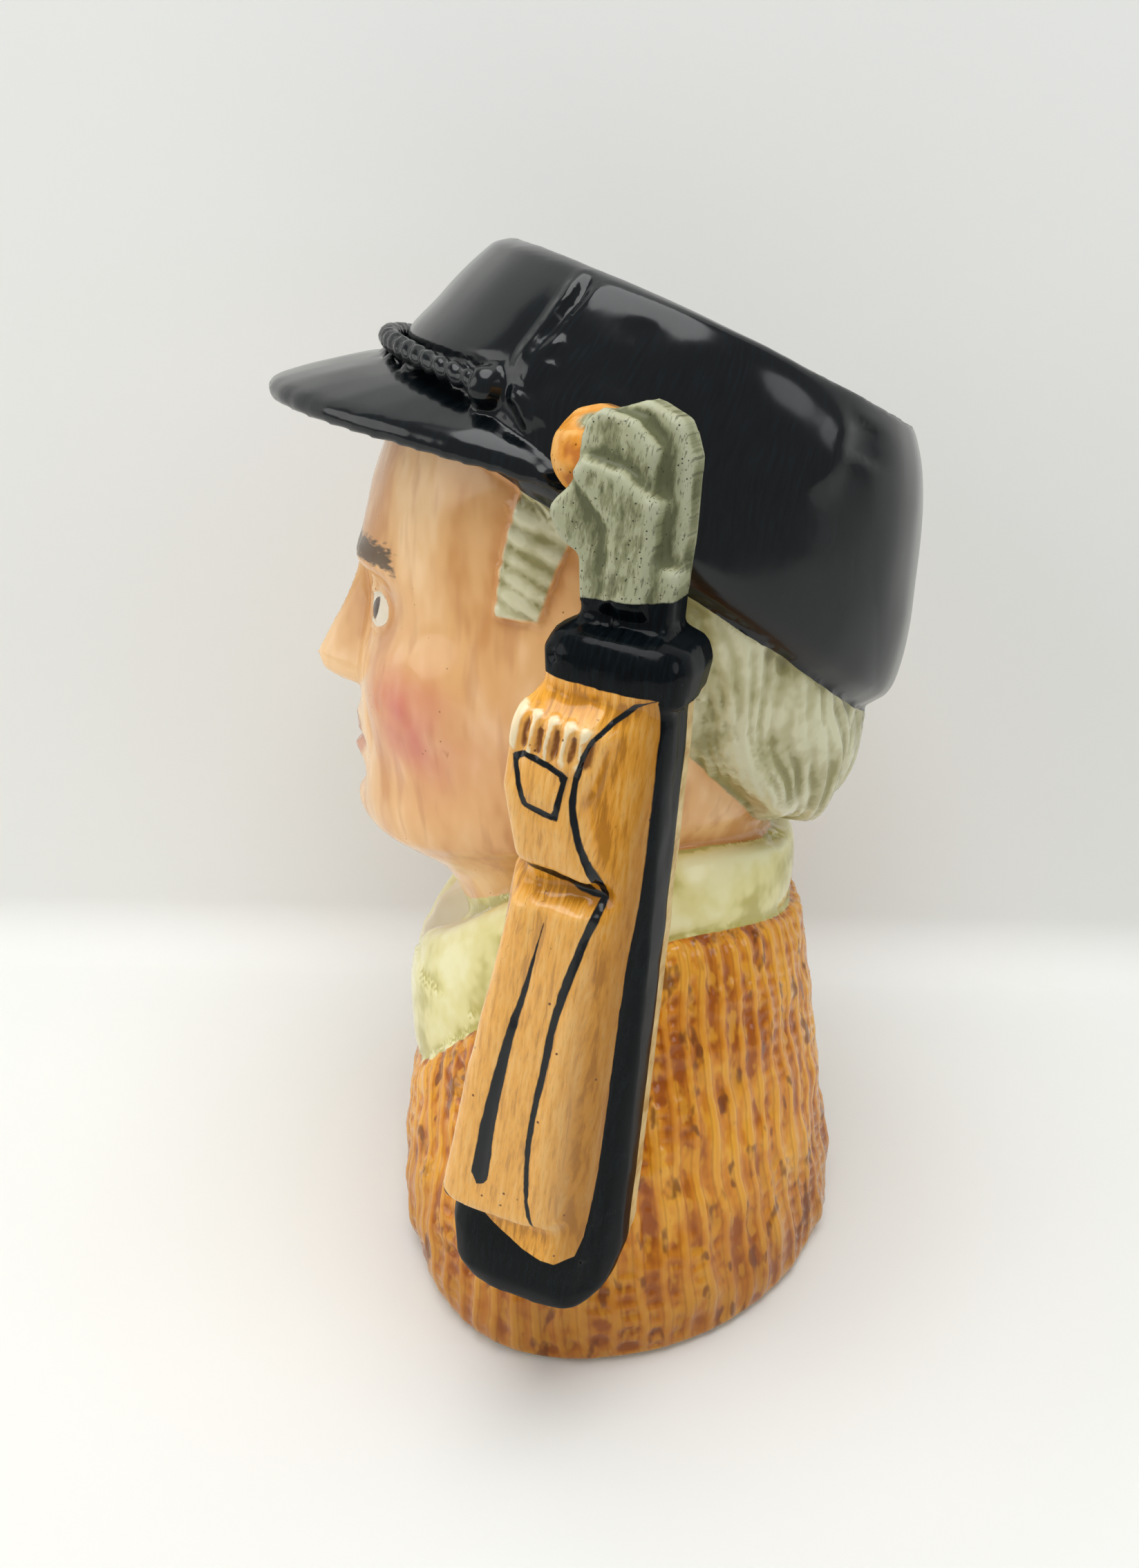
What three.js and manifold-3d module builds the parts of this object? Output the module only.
// A large earthenware character jug, slip-cast and fired as one hollow piece: the bust of a golfer in a
// ribbed sweater, an open shirt collar and a peaked cap whose crown is the jug's mouth, with a golf bag full
// of clubs for its handle.
//
// Millimetres, +Z up. The figure looks along -Y, its left side and the handle are at +X, and the origin is
// the middle of the flat underside.
import * as THREE from "three";
import { LoftGeometry } from "three/addons/geometries/LoftGeometry.js";
import { mergeVertices } from "three/addons/utils/BufferGeometryUtils.js";
import Module from "manifold-3d";

const wasm = await Module();
wasm.setup();

// ---------------------------------------------------------------------------------------------------------
// Driving dimensions
// ---------------------------------------------------------------------------------------------------------

const RIB_COUNT = 42; // ribs of the sweater, all the way round
const RIB_DEPTH = 1.1;
const LOCK_DEPTH = 1.3; // locks of the back hair
const LOCK_COUNT = 14; // locks between one ear and the other

// The bust is skinned through rings. A ring passes through a point on the front of the figure and one on its
// back, each given as [y, z], is `half` wide either side of the middle plane, and its sides stand `lift`
// above the straight line from front to back. Power 2 is an ellipse, and more is squarer. `chest` widens the
// ring's front half and narrows its back half by that share.
function ring(front, back, half, lift = 0, power = 2, chest = 0) {
  return { front, back, half, lift, power, chest };
}

const SWEATER = [
  ring([-39.6, 0], [39.6, 0], 57.5, 0, 2.2, 0.15),
  ring([-41.6, 1.8], [41.4, 1.8], 60, 0, 2.2, 0.15),
  ring([-42.6, 6.5], [41.6, 7], 60.4, 0.5, 2.2, 0.15),
  ring([-42.8, 14], [39.8, 20], 57.5, 3, 2.15, 0.13),
  ring([-42.4, 21], [37, 38], 51.5, 8.5, 2.1, 0.1),
  ring([-41.8, 26.4], [34.4, 54], 45, 15, 2.05, 0.06),
  ring([-41.2, 29.4], [32.8, 61], 41, 18.5, 2, 0.04),
  ring([-38.5, 30.4], [30.4, 62.4], 38.2, 18.4),
];

const COLLAR = [
  ring([-37.5, 22], [29, 56], 37, 16),
  ring([-42, 29.6], [31.4, 63.5], 39.4, 18),
  ring([-42.4, 41], [32, 69.6], 38, 16.6),
  ring([-40.4, 51.4], [31.6, 74], 35, 15),
  ring([-38, 53.6], [30, 75.4], 33, 14.4),
  ring([-33, 55], [27, 76.4], 29.8, 14),
];

const HEAD = [
  ring([-28, 44], [24, 60], 27.5, 8),
  ring([-31, 60], [26.5, 75], 30, 7),
  ring([-35, 68], [27.5, 79], 31.5, 5),
  ring([-43.6, 73.6], [29, 83], 33.4, 3),
  ring([-48.4, 78], [31, 87], 35.6, 1),
  ring([-49.4, 84], [32.5, 90], 37.2, 0.5),
  ring([-48.6, 92], [34, 94], 38.6, 1),
  ring([-49, 101], [36.5, 98], 39.8, 2),
  ring([-48.4, 110], [38, 103], 40.4, 3),
  ring([-47, 119], [39, 108], 40.4, 4),
  ring([-47.4, 128], [39.5, 114], 40.4, 6),
  ring([-45.4, 138], [39.5, 121], 40.4, 8),
  ring([-40, 152], [38, 133], 39, 8),
];

const HAIR = [
  ring([-20, 126], [28.5, 79], 33),
  ring([-24, 131], [36, 80.5], 39),
  ring([-25.5, 137], [40, 87], 41.2),
  ring([-26, 143], [41.8, 96], 42),
  ring([-26, 151], [42, 106], 42),
  ring([-26, 158], [40, 116], 40),
];

const CROWN = [
  ring([-34, 147], [37.6, 98], 39.5, 7),
  ring([-37, 150.4], [43.4, 100.6], 45.6, 8),
  ring([-39, 153.4], [47.2, 103.6], 47.2, 8),
  ring([-39, 161], [49.6, 117], 47.6, 7),
  ring([-32, 169.4], [49.8, 133], 46.4, 5),
  ring([-25.6, 175.4], [48.4, 143.6], 44.2, 3),
  ring([-22.8, 177.5], [46.4, 148.2], 42.2, 2),
  ring([-20, 178], [43.4, 149.4], 39.6, 1.6),
];

// The room inside follows the outside, a wall's thickness further in, and runs out through the mouth.
const ROOM = [
  ring([-32, 6], [31, 6], 46, 0, 2.2, 0.15),
  ring([-37.4, 10], [36.4, 10], 53, 0, 2.2, 0.15),
  ring([-38, 21], [33, 33], 49, 3, 2.1, 0.12),
  ring([-35.6, 30], [28.6, 52], 38.5, 9, 2, 0.05),
  ring([-28, 46], [24, 64], 28.5, 9.5),
  ring([-25.6, 60], [23, 76], 26, 6.5),
  ring([-30, 73], [24.6, 85], 28.5, 3),
  ring([-39.2, 86], [28, 95], 33, 2),
  ring([-40.6, 101], [32.6, 103], 36, 3),
  ring([-38.4, 120], [35.4, 113], 36.8, 4),
  ring([-37.8, 139], [39.6, 122], 39, 5),
  ring([-38, 152], [45, 128], 43, 6),
  ring([-31, 166], [45.6, 137], 42, 4),
  ring([-21.4, 174], [43.2, 145.6], 38.6, 1.6),
  ring([-16.4, 179.4], [39.6, 151.6], 35.8, 0.8),
  ring([-12, 188], [41, 162], 36, 0.8),
];

// ---------------------------------------------------------------------------------------------------------
// Skinning
// ---------------------------------------------------------------------------------------------------------

// Cubic interpolation that never swings past its own points.
function glide(values, at) {
  const last = values.length - 1;
  const i = Math.min(Math.floor(at), last - 1);
  const step = (k) => values[k + 1] - values[k];
  const slope = (k) => {
    if (k === 0 || k === last) return k === 0 ? step(0) : step(last - 1);
    const [before, after] = [step(k - 1), step(k)];
    return before * after <= 0 ? 0 : (2 * before * after) / (before + after);
  };
  const t = at - i;
  const [a, b] = [values[i], values[i + 1]];
  const [ma, mb] = [slope(i), slope(i + 1)];
  const [t2, t3] = [t * t, t * t * t];
  return (2 * t3 - 3 * t2 + 1) * a + (t3 - 2 * t2 + t) * ma + (3 * t2 - 2 * t3) * b + (t3 - t2) * mb;
}

// The ring a fraction of the way up a stack of rings, with `at` counted in rings.
function ringAt(rings, at) {
  const take = (pick) => glide(rings.map(pick), at);
  return ring(
    [take((r) => r.front[0]), take((r) => r.front[1])],
    [take((r) => r.back[0]), take((r) => r.back[1])],
    take((r) => r.half),
    take((r) => r.lift),
    take((r) => r.power),
    take((r) => r.chest),
  );
}

const signedPower = (value, power) => Math.sign(value) * Math.abs(value) ** power;

// A point of a ring. Angle 0 is the front of the figure and a quarter turn is its left side. `out` moves the
// point away from the ring's middle.
function onRing({ front, back, half, lift, power, chest }, angle, out = 0) {
  const reach = (back[0] - front[0]) / 2;
  const cos = signedPower(Math.cos(angle), 2 / power);
  const sin = signedPower(Math.sin(angle), 2 / power);
  return new THREE.Vector3(
    sin * (half * (1 + chest * cos) + out),
    (front[0] + back[0]) / 2 - cos * (reach + out),
    (front[1] + back[1]) / 2 + (cos * (front[1] - back[1])) / 2 + lift * (1 - cos * cos),
  );
}

// A closed skin over a stack of rings. `relief(angle, at, z)` says how far a point stands out of its ring, and
// `crowd`, from 0 to 1, draws the columns together towards the front.
function skin(rings, columns, rowsPerRing, relief = () => 0, crowd = 0) {
  const rows = Math.round((rings.length - 1) * rowsPerRing);
  const sections = Array.from({ length: rows + 1 }, (_, row) => {
    const at = (row / rows) * (rings.length - 1);
    const here = ringAt(rings, at);
    return Array.from({ length: columns }, (_, column) => {
      const even = (column / columns) * 2 * Math.PI;
      const angle = even - crowd * Math.sin(even);
      return onRing(here, angle, relief(angle, at, onRing(here, angle).z));
    });
  });
  return new LoftGeometry(sections, { capStart: true, capEnd: true });
}

// A slab that follows a stack of rings, from one height in rings to another, between a front edge and a back
// edge. Each edge is [its angle at the foot, its angle at the top]. The slab's outer face stands `proud` of
// the skin and its inner face lies `sunk` below it.
function slab(rings, front, back, [fromAt, toAt], proud, sunk, steps = 5) {
  const { lerp } = THREE.MathUtils;
  const loop = (u) => {
    const along = (v, out) => {
      const angle = lerp(lerp(front[0], front[1], v), lerp(back[0], back[1], v), u);
      return onRing(ringAt(rings, lerp(fromAt, toAt, v)), angle, out);
    };
    const outer = Array.from({ length: steps + 1 }, (_, k) => along(1 - k / steps, proud));
    const inner = Array.from({ length: steps + 1 }, (_, k) => along(k / steps, -sunk));
    return [...outer, ...inner];
  };
  const sections = Array.from({ length: steps + 1 }, (_, k) => loop(k / steps));
  return new LoftGeometry(sections, { capStart: true, capEnd: true });
}

// ---------------------------------------------------------------------------------------------------------
// Solids
// ---------------------------------------------------------------------------------------------------------

function solidOf(geometry, matrix = new THREE.Matrix4()) {
  const placed = (geometry.index ? geometry.toNonIndexed() : geometry.clone()).applyMatrix4(matrix);
  placed.deleteAttribute("normal");
  placed.deleteAttribute("uv");
  const merged = mergeVertices(placed, 1e-3);
  const mesh = new wasm.Mesh({
    numProp: 3,
    vertProperties: merged.attributes.position.array,
    triVerts: new Uint32Array(merged.index.array),
  });
  const made = new wasm.Manifold(mesh);
  if (made.volume() < 0) throw new Error("a solid's faces point inwards");
  return made;
}

const fuse = (solids) => solids.reduce((whole, next) => whole.add(next));

function geometryOf(solid) {
  const mesh = solid.getMesh();
  const geometry = new THREE.BufferGeometry();
  geometry.setAttribute("position", new THREE.BufferAttribute(new Float32Array(mesh.vertProperties), 3));
  geometry.setIndex(new THREE.BufferAttribute(new Uint32Array(mesh.triVerts), 1));
  geometry.computeVertexNormals();
  return geometry;
}

// A ball stretched to three radii, turned by Euler angles in degrees and put in place.
function ball(centre, radii, turn = [0, 0, 0], segments = 8) {
  const geometry = new THREE.SphereGeometry(1, segments, Math.round(segments * 0.7));
  const rotation = new THREE.Euler(...turn.map(THREE.MathUtils.degToRad));
  const matrix = new THREE.Matrix4().compose(
    new THREE.Vector3(...centre),
    new THREE.Quaternion().setFromEuler(rotation),
    new THREE.Vector3(...radii),
  );
  return solidOf(geometry, matrix);
}

// The same thing on the figure's left and right.
const bothSides = (make) => [1, -1].map(make);

// ---------------------------------------------------------------------------------------------------------
// Bust
// ---------------------------------------------------------------------------------------------------------

function sweater() {
  const columns = RIB_COUNT * 2;
  const smoothFoot = 1.5; // rings, from the sole up, before the ribs reach their full depth
  const relief = (angle, at) => {
    const crest = Math.cos((angle * columns) / 2);
    const fade = Math.min(1, Math.max(0, at - 0.5) / smoothFoot) * Math.min(1, Math.max(0, 6 - at));
    return (RIB_DEPTH / 2) * crest * fade;
  };
  return solidOf(skin(SWEATER, columns, 1, relief));
}

// The shirt collar stands open in front, with a notch between its two points.
function collar() {
  const notch = new THREE.Shape();
  const [halfWidth, depth, rise] = [9, 17, 6];
  notch.moveTo(0, -depth);
  notch.lineTo(halfWidth, rise);
  notch.lineTo(-halfWidth, rise);
  notch.closePath();
  const cut = new THREE.ExtrudeGeometry(notch, { depth: 18, bevelEnabled: false });
  const topOfFront = new THREE.Matrix4().makeTranslation(0, -28, 53);
  const upright = new THREE.Matrix4().makeRotationX(Math.PI / 2);
  return solidOf(skin(COLLAR, 40, 1.2)).subtract(solidOf(cut, topOfFront.multiply(upright)));
}

// Rings from the nose's wings up to its root, each a rounded triangle standing out of the face.
function nose() {
  const stations = [
    { z: 101.6, out: 1, half: 4.6 },
    { z: 102.6, out: 6, half: 7 },
    { z: 104.4, out: 9.4, half: 8 },
    { z: 107.2, out: 10.4, half: 7.2 },
    { z: 112, out: 7.6, half: 5 },
    { z: 118, out: 4.2, half: 3.8 },
    { z: 123, out: 2, half: 3.6 },
    { z: 128, out: 0.4, half: 4.4 },
  ];
  const face = -47.4; // y of the face where the nose leaves it
  const depth = 4; // how far the nose's back is sunk in the face
  const sections = stations.map(({ z, out, half }) =>
    Array.from({ length: 14 }, (_, k) => {
      const angle = (k / 14) * 2 * Math.PI;
      const forward = Math.max(0, Math.cos(angle)) ** 0.8;
      const across = Math.sin(angle) * half * (1 - 0.35 * forward);
      return new THREE.Vector3(across, face + depth - forward * (out + depth), z);
    }),
  );
  return solidOf(new LoftGeometry(sections, { capStart: true, capEnd: true }));
}

// What swells out of the head and what sinks into it: `angle` and `wide` in degrees round the head from
// straight ahead, `z` and `tall` in millimetres, and how far it stands out. One that isn't in the middle is on
// both sides.
const FEATURES = [
  { angle: 22, wide: 13, z: 127.5, tall: 3.2, out: 2.2 }, // brow
  { angle: 23, wide: 12, z: 119.6, tall: 5.6, out: -4.2 }, // eye socket
  { angle: 23, wide: 8, z: 118.8, tall: 3.6, out: 3.8 }, // eyeball
  { angle: 44, wide: 17, z: 107, tall: 9, out: 2.2 }, // cheek
  { angle: 0, wide: 12, z: 95.4, tall: 2.4, out: 2.4 }, // upper lip
  { angle: 0, wide: 10, z: 90, tall: 2.4, out: 2.6 }, // lower lip
  { angle: 0, wide: 10, z: 85.4, tall: 2.6, out: -2 }, // hollow under the lip
  { angle: 0, wide: 13, z: 79.5, tall: 5, out: 2 }, // chin
  { angle: 72, wide: 14, z: 127, tall: 11, out: -1.2 }, // temple
];

function headRelief(angle, at, z) {
  const degrees = THREE.MathUtils.radToDeg(angle);
  const turn = degrees > 180 ? 360 - degrees : degrees;
  return FEATURES.reduce((sum, { angle: middle, wide, z: height, tall, out }) => {
    const away = ((turn - middle) / wide) ** 2 + ((z - height) / tall) ** 2;
    return sum + out * Math.exp(-away);
  }, 0);
}

function head() {
  const ears = bothSides((side) => ball([side * 41, 2, 114], [3.6, 6.4, 11], [-8, 0, side * 14], 10));
  return fuse([solidOf(skin(HEAD, 40, 2, headRelief, 0.62)), nose(), ...ears]);
}

function hair() {
  const locks = (angle, at) => {
    const bend = 0.28 * Math.sin(at * 1.3);
    return LOCK_DEPTH * (Math.abs(Math.sin((angle + bend) * LOCK_COUNT)) - 0.5) * Math.min(1, at);
  };
  const [frontEdge, backEdge] = [[1.18, 1.25], [1.34, 1.5]];
  const height = [9.4, 11.3]; // of the sideburns, in rings of the head
  const left = solidOf(slab(HEAD, frontEdge, backEdge, height, 1.5, 3));
  const right = solidOf(slab(HEAD, backEdge.map((a) => -a), frontEdge.map((a) => -a), height, 1.5, 3));
  return fuse([solidOf(skin(HAIR, 50, 1.1, locks)), left, right]);
}

// ---------------------------------------------------------------------------------------------------------
// Cap
// ---------------------------------------------------------------------------------------------------------

const PEAK = {
  reach: 54.6, // from the middle of the edge's ellipse to the tip
  half: 46.5,
  middle: -7, // y of that middle
  tip: 153, // z of the underside at the tip
  temple: 140.3, // z of the underside where it runs out at the temples
  thick: 3,
};

// One cut through the peak, in the upright plane that points `angle` away from straight ahead.
function peakSection(angle) {
  const c = Math.max(0, Math.cos(angle));
  const edgeZ = THREE.MathUtils.lerp(PEAK.temple, PEAK.tip, c ** 0.72) + PEAK.thick;
  const rootZ = THREE.MathUtils.lerp(PEAK.temple + 8, 160.6, c);
  const edge = [Math.sin(angle) * PEAK.half, PEAK.middle - c * PEAK.reach];
  const root = [Math.sin(angle) * 41, -3 - c * 34];
  const at = (share, z) => new THREE.Vector3(
    THREE.MathUtils.lerp(root[0], edge[0], share),
    THREE.MathUtils.lerp(root[1], edge[1], share),
    z,
  );
  const top = [0.15, 0.45, 0.75, 0.93].map((s) => at(s, THREE.MathUtils.lerp(rootZ, edgeZ, s ** 1.5) + 0.3));
  const lip = [at(1, edgeZ - 0.3), at(1, edgeZ - PEAK.thick * 0.6), at(0.96, edgeZ - PEAK.thick)];
  const under = [at(0.6, edgeZ - PEAK.thick + 0.8), at(0.1, edgeZ - PEAK.thick + 1)];
  return [...top, ...lip, ...under];
}

function peak() {
  const reach = THREE.MathUtils.degToRad(88);
  const steps = 20;
  const sections = Array.from({ length: steps + 1 }, (_, k) => peakSection((2 * k / steps - 1) * reach));
  return solidOf(new LoftGeometry(sections, { capStart: true, capEnd: true }));
}

// The twisted cord that runs round the foot of the crown, above the peak, to a button at either end.
function braid() {
  const reach = THREE.MathUtils.degToRad(58);
  const turns = 13;
  const route = (angle) => {
    const c = Math.cos(angle);
    return new THREE.Vector3(Math.sin(angle) * 46.6, 1.6 - c * 42.4, THREE.MathUtils.lerp(149.4, 163, c));
  };
  const steps = turns * 2;
  const strand = Array.from({ length: steps + 1 }, (_, k) => {
    const angle = (2 * k / steps - 1) * reach;
    const [here, next] = [route(angle), route(angle + 0.01)];
    const along = next.sub(here).normalize();
    const out = new THREE.Vector3(Math.sin(angle), -Math.cos(angle), 0.3).normalize();
    const up = new THREE.Vector3().crossVectors(along, out).normalize();
    const radius = k % 2 ? 1.3 : 1.7;
    return Array.from({ length: 5 }, (_, m) => {
      const turn = (m / 5) * 2 * Math.PI;
      const point = here.clone().addScaledVector(out, Math.cos(turn) * radius);
      return point.addScaledVector(up, Math.sin(turn) * radius);
    });
  });
  const buttons = bothSides((side) => {
    const place = route(side * reach);
    return ball(place.toArray(), [2.6, 3.2, 3.2], [0, 0, 0], 10);
  });
  return fuse([solidOf(new LoftGeometry(strand, { capStart: true, capEnd: true })), ...buttons]);
}

// Two folds of cloth run up the left side of the crown from the button.
function crownRelief(angle, at) {
  const folds = [
    { from: 0.95, slope: 0.075, depth: 1.3, width: 0.07 },
    { from: 1.18, slope: 0.07, depth: 0.8, width: 0.06 },
  ];
  const side = angle > Math.PI ? 2 * Math.PI - angle : angle;
  const fade = Math.max(0, Math.sin(Math.min(1, Math.max(0, (at - 2) / 4.4)) * Math.PI));
  return folds.reduce((sum, { from, slope, depth, width }) => {
    const away = (side - from - slope * (at - 2.5)) / width;
    return sum + depth * fade * Math.exp(-away * away);
  }, 0);
}

function cap() {
  return fuse([solidOf(skin(CROWN, 44, 1.15, crownRelief)), peak(), braid()]);
}

// ---------------------------------------------------------------------------------------------------------
// Handle: a golf bag with its clubs
// ---------------------------------------------------------------------------------------------------------

const BAG_FOOT = new THREE.Vector3(70, -12.2, 27.6); // middle of the bag's underside
const BAG_MOUTH = new THREE.Vector3(70, 0.4, 126.4); // middle of its mouth
const BAG_YAW = THREE.MathUtils.degToRad(-17); // the pockets look out and a little forward

// The handle's own frame: x across the bag towards the figure's back, y up along it and z away from the jug.
function handleFrame() {
  const up = BAG_MOUTH.clone().sub(BAG_FOOT).normalize();
  const outward = new THREE.Vector3(Math.cos(BAG_YAW), Math.sin(BAG_YAW), 0);
  const across = new THREE.Vector3().crossVectors(up, outward).normalize();
  outward.crossVectors(across, up);
  return new THREE.Matrix4().makeBasis(across, up, outward).setPosition(BAG_FOOT);
}

const IN_HANDLE = handleFrame();

// A rounded box skinned along the bag. A station is [height, half across, half deep, shift across, shift out].
function boxSkin(stations, power = 4, points = 18) {
  const sections = stations.map(([height, halfAcross, halfDeep, shiftAcross = 0, shiftOut = 0]) =>
    Array.from({ length: points }, (_, k) => {
      const angle = ((k + 0.5) / points) * 2 * Math.PI;
      return new THREE.Vector3(
        shiftAcross + signedPower(Math.sin(angle), 2 / power) * halfAcross,
        height,
        shiftOut + signedPower(Math.cos(angle), 2 / power) * halfDeep,
      );
    }),
  );
  return solidOf(new LoftGeometry(sections, { capStart: true, capEnd: true }), IN_HANDLE);
}

function bag() {
  const body = boxSkin([
    [0.6, 5.6, 6],
    [1.8, 9.4, 9],
    [4.9, 11.8, 10.2],
    [10.7, 12.9, 10.6],
    [48.8, 11.2, 10],
    [87.8, 9.2, 9.4],
    [94.6, 8.6, 9],
  ]);
  const lowerPocket = boxSkin([
    [16.6, 8.6, 2, -3, 9],
    [18.5, 10, 4.8, -3, 9],
    [39, 8.8, 4.8, -2.6, 8.8],
    [66.3, 6.2, 4.4, -2, 8],
    [68.2, 5, 2, -2, 7.4],
  ]);
  const upperPocket = boxSkin([
    [69.2, 5, 2, -2, 7.4],
    [71.2, 6, 4.6, -2.2, 7.8],
    [81.9, 6, 6, -5, 7.6],
    [90.7, 7, 5.6, -4, 7],
    [94.6, 6, 3, -3, 5.6],
  ]);
  const mouth = boxSkin([
    [93.6, 7.6, 7.6],
    [95, 9.6, 9.2, 0.4, 0.4],
    [99.5, 10, 9.8, 0.4, 0.5],
    [101.8, 9, 8.8, 0.4, 0.4],
    [102.8, 7, 7, 0.2, 0.2],
  ]);
  return fuse([body, lowerPocket, upperPocket, mouth]);
}

// Each club head is a flat outline of [across, up] points, cut through its depth with rounded edges.
const CLUB_HEADS = [
  {
    name: "long iron",
    depth: 8,
    out: -3,
    outline: [[-5.8, 107], [5.2, 107], [5.2, 115], [4.6, 124], [2.6, 128.4], [-2, 130.4], [-5.8, 129]],
  },
  {
    name: "middle iron",
    depth: 8,
    out: 1.2,
    outline: [[-5.4, 106], [1.4, 106], [1.2, 125], [-2, 128], [-6.4, 129], [-8.6, 127], [-8.4, 119]],
  },
  {
    name: "wedge",
    depth: 7,
    out: 3.6,
    outline: [[-2.6, 105], [3.2, 105], [2.6, 119], [-2, 122], [-7.6, 123], [-8.8, 120.6], [-3, 115]],
  },
  {
    name: "putter",
    depth: 6.6,
    out: 2.4,
    outline: [[-6, 105], [-1.6, 105], [-2.6, 115.4], [-8.2, 120.4], [-11.8, 116], [-9.6, 112.4], [-6.8, 111]],
  },
];

function clubHead({ depth, out, outline }) {
  const soft = 1.2;
  const shape = new THREE.Shape(outline.map(([across, up]) => new THREE.Vector2(across, up)));
  const options = {
    depth: depth - 2 * soft,
    bevelThickness: soft,
    bevelSize: soft,
    bevelOffset: -soft,
    bevelSegments: 2,
  };
  const placed = new THREE.Matrix4().makeTranslation(0, 0, out - depth / 2 + soft);
  return solidOf(new THREE.ExtrudeGeometry(shape, options), IN_HANDLE.clone().multiply(placed));
}

function clubs() {
  const shafts = boxSkin([[97, 6.4, 6], [111, 5.8, 5]], 5);
  const driver = ball([58, -4, 150], [11.5, 6.2, 6.2], [0, 8, -8]);
  return fuse([shafts, driver, ...CLUB_HEADS.map(clubHead)]);
}

// The handle is stuck to the jug at both ends: the club heads to the cap and the bag's foot to the shoulder.
function joints() {
  const atCap = ball([56, 1, 147], [12.5, 5.4, 6.4]);
  const atShoulder = ball([58, -10.5, 36], [12, 9.4, 12.5]);
  return fuse([atCap, atShoulder]);
}

// ---------------------------------------------------------------------------------------------------------
// Jug
// ---------------------------------------------------------------------------------------------------------

const outside = fuse([sweater(), collar(), head(), hair(), cap(), bag(), clubs(), joints()]);
const room = solidOf(skin(ROOM, 26, 1));
const jugSolid = outside.subtract(room);

const glazedEarthenware = new THREE.MeshStandardMaterial({ color: 0xc98a4a, roughness: 0.15, metalness: 0 });
const jug = new THREE.Mesh(geometryOf(jugSolid), glazedEarthenware);
jug.name = "toby_jug";

const group = new THREE.Group();
group.add(jug);
export default group;
